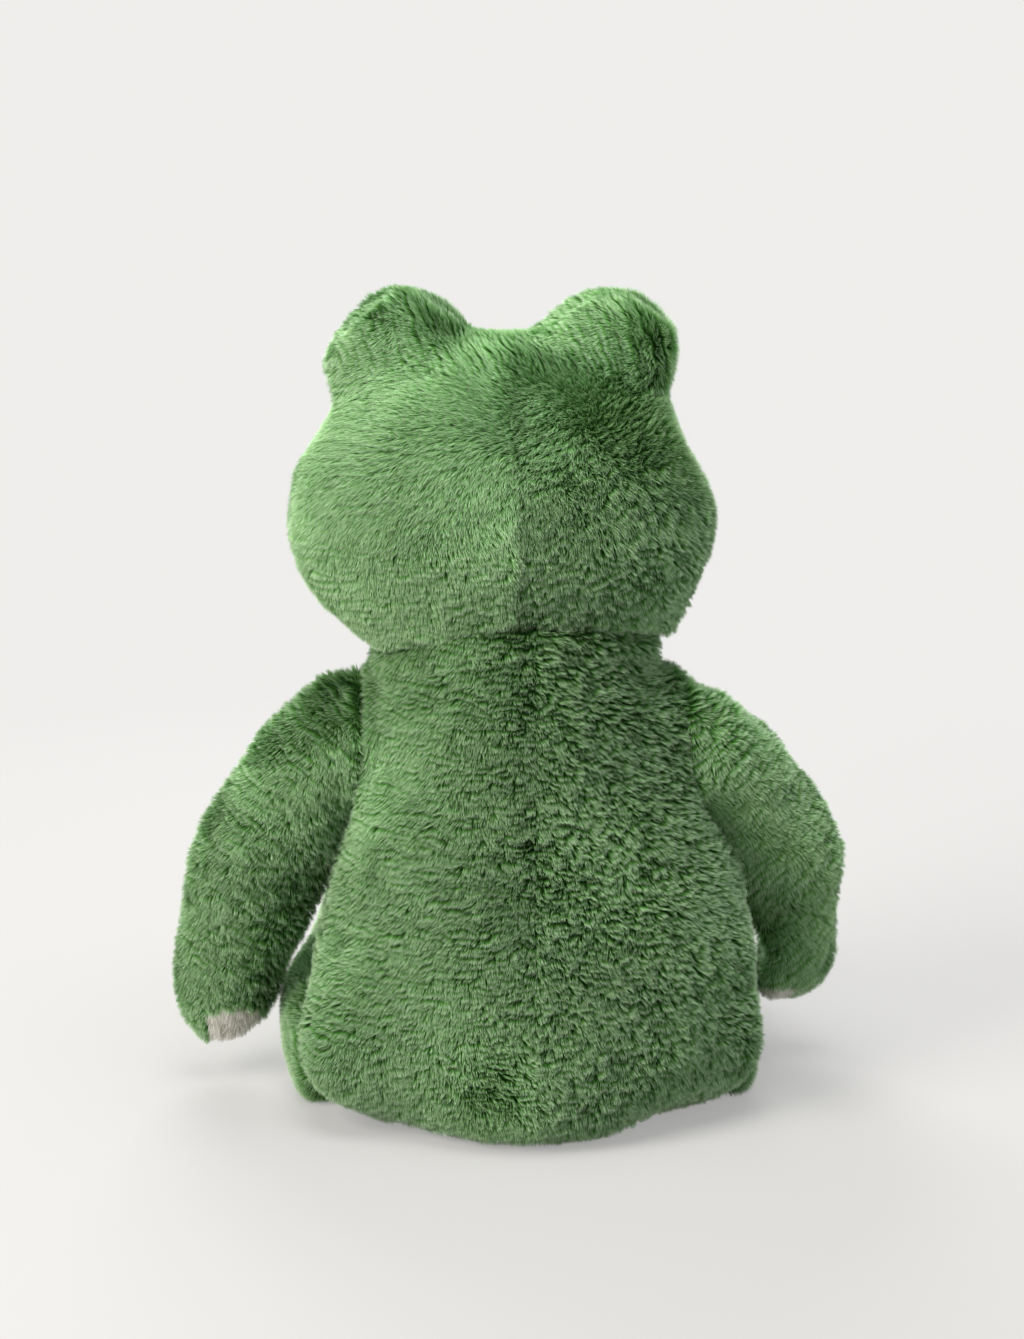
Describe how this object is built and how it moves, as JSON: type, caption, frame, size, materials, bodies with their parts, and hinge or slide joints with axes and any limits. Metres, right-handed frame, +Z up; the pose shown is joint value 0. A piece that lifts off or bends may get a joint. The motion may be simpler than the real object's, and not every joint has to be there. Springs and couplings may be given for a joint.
{
  "type": "plush frog",
  "caption": "Seated stuffed plush frog with round eye bumps, arms that hang beside its body and legs that lie forward.",
  "frame": {"origin": "middle of the flat seat, on the surface that the frog sits on", "axes": "+Z up, -Y the way the frog faces, +X the frog's own left"},
  "size_m": [0.3533, 0.314, 0.438],
  "materials": {
    "plush_green": "green knitted plush with a 9 mm brushed pile",
    "plush_cream": "cream knitted plush with a short 4 mm pile",
    "fibre_filling": "loose white polyester fibre",
    "calico": "plain unbleached cotton cloth",
    "eye_black": "moulded, high gloss",
    "washer_white": "moulded, matt",
    "thread_dark": "embroidery thread"
  },
  "bodies": {
    "torso": {"seat_panel": "plush_green", "belly_panel": "plush_cream", "body_back_left": "plush_green", "body_back_right": "plush_green", "bead_pouch": "calico", "body_stuffing": "fibre_filling"},
    "neck": {"neck_stuffing": "fibre_filling"},
    "head": {"head_back_left": "plush_green", "head_back_right": "plush_green", "face_upper": "plush_green", "face_lower": "plush_cream", "head_stuffing": "fibre_filling", "mouth_stitch": "thread_dark", "nostril_left": "thread_dark", "nostril_right": "thread_dark", "bump_front_left": "plush_green", "bump_back_left": "plush_green", "eye_left": "eye_black", "eye_washer_left": "washer_white", "bump_stuffing_left": "fibre_filling", "bump_front_right": "plush_green", "bump_back_right": "plush_green", "eye_right": "eye_black", "eye_washer_right": "washer_white", "bump_stuffing_right": "fibre_filling"},
    "arm_left": {"arm_left": "plush_green", "paw_pad_left": "plush_cream", "arm_stuffing_left": "fibre_filling"},
    "arm_right": {"arm_right": "plush_green", "paw_pad_right": "plush_cream", "arm_stuffing_right": "fibre_filling"},
    "leg_left": {"leg_left": "plush_green", "foot_sole_left": "plush_cream", "leg_stuffing_left": "fibre_filling"},
    "leg_right": {"leg_right": "plush_green", "foot_sole_right": "plush_cream", "leg_stuffing_right": "fibre_filling"}
  },
  "joints": [
    {"name": "neck_turn", "type": "hinge", "parent": "torso", "child": "neck", "pos_m": [0.01, 0, 0.24], "axis": [0, 0, 1], "range_deg": [-30, 30]},
    {"name": "neck_nod", "type": "hinge", "parent": "neck", "child": "head", "pos_m": [0.01, 0, 0.24], "axis": [1, 0, 0], "range_deg": [-10, 10]},
    {"name": "shoulder_left", "type": "hinge", "parent": "torso", "child": "arm_left", "pos_m": [0.088, 0, 0.2], "axis": [1, 0, 0], "range_deg": [-65, 25]},
    {"name": "shoulder_right", "type": "hinge", "parent": "torso", "child": "arm_right", "pos_m": [-0.078, 0, 0.2], "axis": [1, 0, 0], "range_deg": [-50, 40]},
    {"name": "hip_left", "type": "hinge", "parent": "torso", "child": "leg_left", "pos_m": [0.09, -0.06, 0.044], "axis": [1, 0, 0], "range_deg": [-20, 45]},
    {"name": "hip_right", "type": "hinge", "parent": "torso", "child": "leg_right", "pos_m": [-0.082, -0.06, 0.044], "axis": [1, 0, 0], "range_deg": [-20, 45]}
  ]
}
